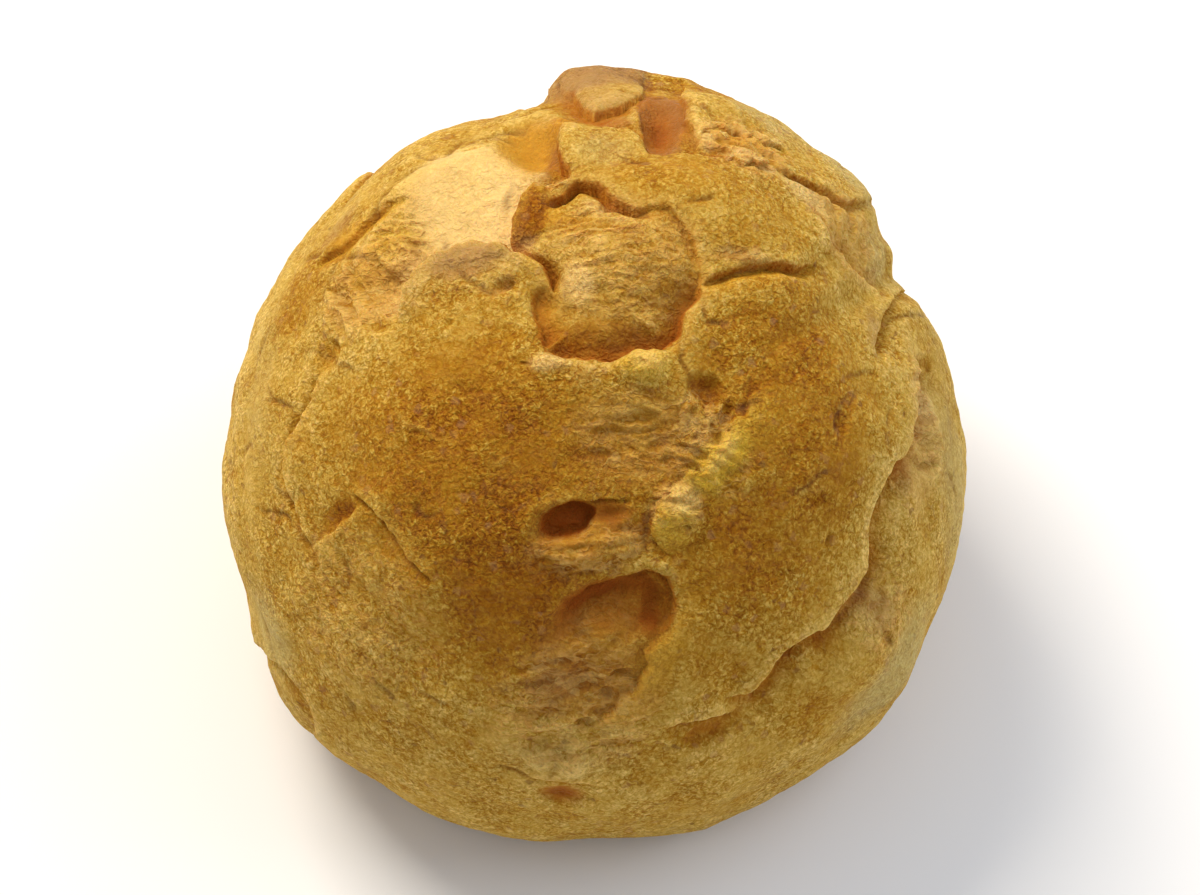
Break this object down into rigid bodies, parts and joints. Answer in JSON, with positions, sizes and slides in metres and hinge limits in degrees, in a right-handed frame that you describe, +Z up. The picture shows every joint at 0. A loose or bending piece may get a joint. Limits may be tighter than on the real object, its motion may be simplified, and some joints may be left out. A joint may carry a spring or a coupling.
{
  "type": "cream puff",
  "caption": "Round baked choux puff with a torn, plated golden brown crust and a flat base to stand on.",
  "frame": {"origin": "middle of the flat base, under the centre of the bounding box", "axes": "+Z up from the base; -Y is the side with the tall torn valley, seen from in front and above; +X to its right"},
  "size_m": [0.0738, 0.0734, 0.0574],
  "materials": {
    "crust": "dry baked choux crust, matt, golden brown"
  },
  "bodies": {
    "root": {"puff": "crust"}
  },
  "joints": []
}
